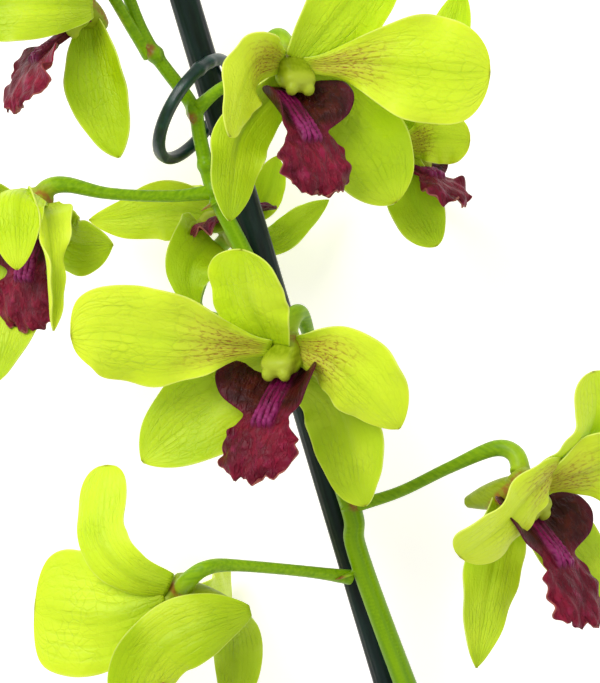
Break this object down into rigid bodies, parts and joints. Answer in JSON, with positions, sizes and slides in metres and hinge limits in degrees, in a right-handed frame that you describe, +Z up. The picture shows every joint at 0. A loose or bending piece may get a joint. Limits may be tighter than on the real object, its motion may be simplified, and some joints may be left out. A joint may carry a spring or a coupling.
{
  "type": "cut dendrobium orchid stem",
  "caption": "Cut orchid stem lying down, with lime-green flowers and dark red lips, held to a dark stake by a ring tie.",
  "frame": {"origin": "centre of the stem's outline on the surface that it lies on, at that surface's height", "axes": "+Y along the stem towards its tip, +Z up from the surface and out of the flowers' faces, +X to the right"},
  "size_m": [0.1627, 0.302, 0.0828],
  "materials": {
    "blade": "satin",
    "lip": "satin",
    "column": "satin",
    "stem": "satin",
    "stake": "satin",
    "tie": "satin"
  },
  "bodies": {
    "root": {"stake": "stake", "rachis": "stem", "tie_ring": "tie", "flower_1_column": "column", "flower_1_lip": "lip", "flower_1_left_petal": "blade", "flower_1_right_petal": "blade", "flower_1_left_lateral_sepal": "blade", "flower_1_right_lateral_sepal": "blade", "flower_1_dorsal_sepal": "blade", "flower_2_column": "column", "flower_2_lip": "lip", "flower_2_left_petal": "blade", "flower_2_right_petal": "blade", "flower_2_left_lateral_sepal": "blade", "flower_2_right_lateral_sepal": "blade", "flower_2_dorsal_sepal": "blade", "flower_3_column": "column", "flower_3_lip": "lip", "flower_3_left_petal": "blade", "flower_3_right_petal": "blade", "flower_3_left_lateral_sepal": "blade", "flower_3_right_lateral_sepal": "blade", "flower_3_dorsal_sepal": "blade", "flower_4_column": "column", "flower_4_lip": "lip", "flower_4_left_petal": "blade", "flower_4_right_petal": "blade", "flower_4_left_lateral_sepal": "blade", "flower_4_right_lateral_sepal": "blade", "flower_4_dorsal_sepal": "blade", "flower_5_column": "column", "flower_5_lip": "lip", "flower_5_left_petal": "blade", "flower_5_right_petal": "blade", "flower_5_left_lateral_sepal": "blade", "flower_5_right_lateral_sepal": "blade", "flower_5_dorsal_sepal": "blade", "flower_6_column": "column", "flower_6_lip": "lip", "flower_6_left_petal": "blade", "flower_6_right_petal": "blade", "flower_6_left_lateral_sepal": "blade", "flower_6_right_lateral_sepal": "blade", "flower_6_dorsal_sepal": "blade", "flower_7_column": "column", "flower_7_lip": "lip", "flower_7_left_petal": "blade", "flower_7_right_petal": "blade", "flower_7_left_lateral_sepal": "blade", "flower_7_right_lateral_sepal": "blade", "flower_7_dorsal_sepal": "blade", "flower_8_column": "column", "flower_8_lip": "lip", "flower_8_left_petal": "blade", "flower_8_right_petal": "blade", "flower_8_left_lateral_sepal": "blade", "flower_8_right_lateral_sepal": "blade", "flower_8_dorsal_sepal": "blade"}
  },
  "joints": []
}
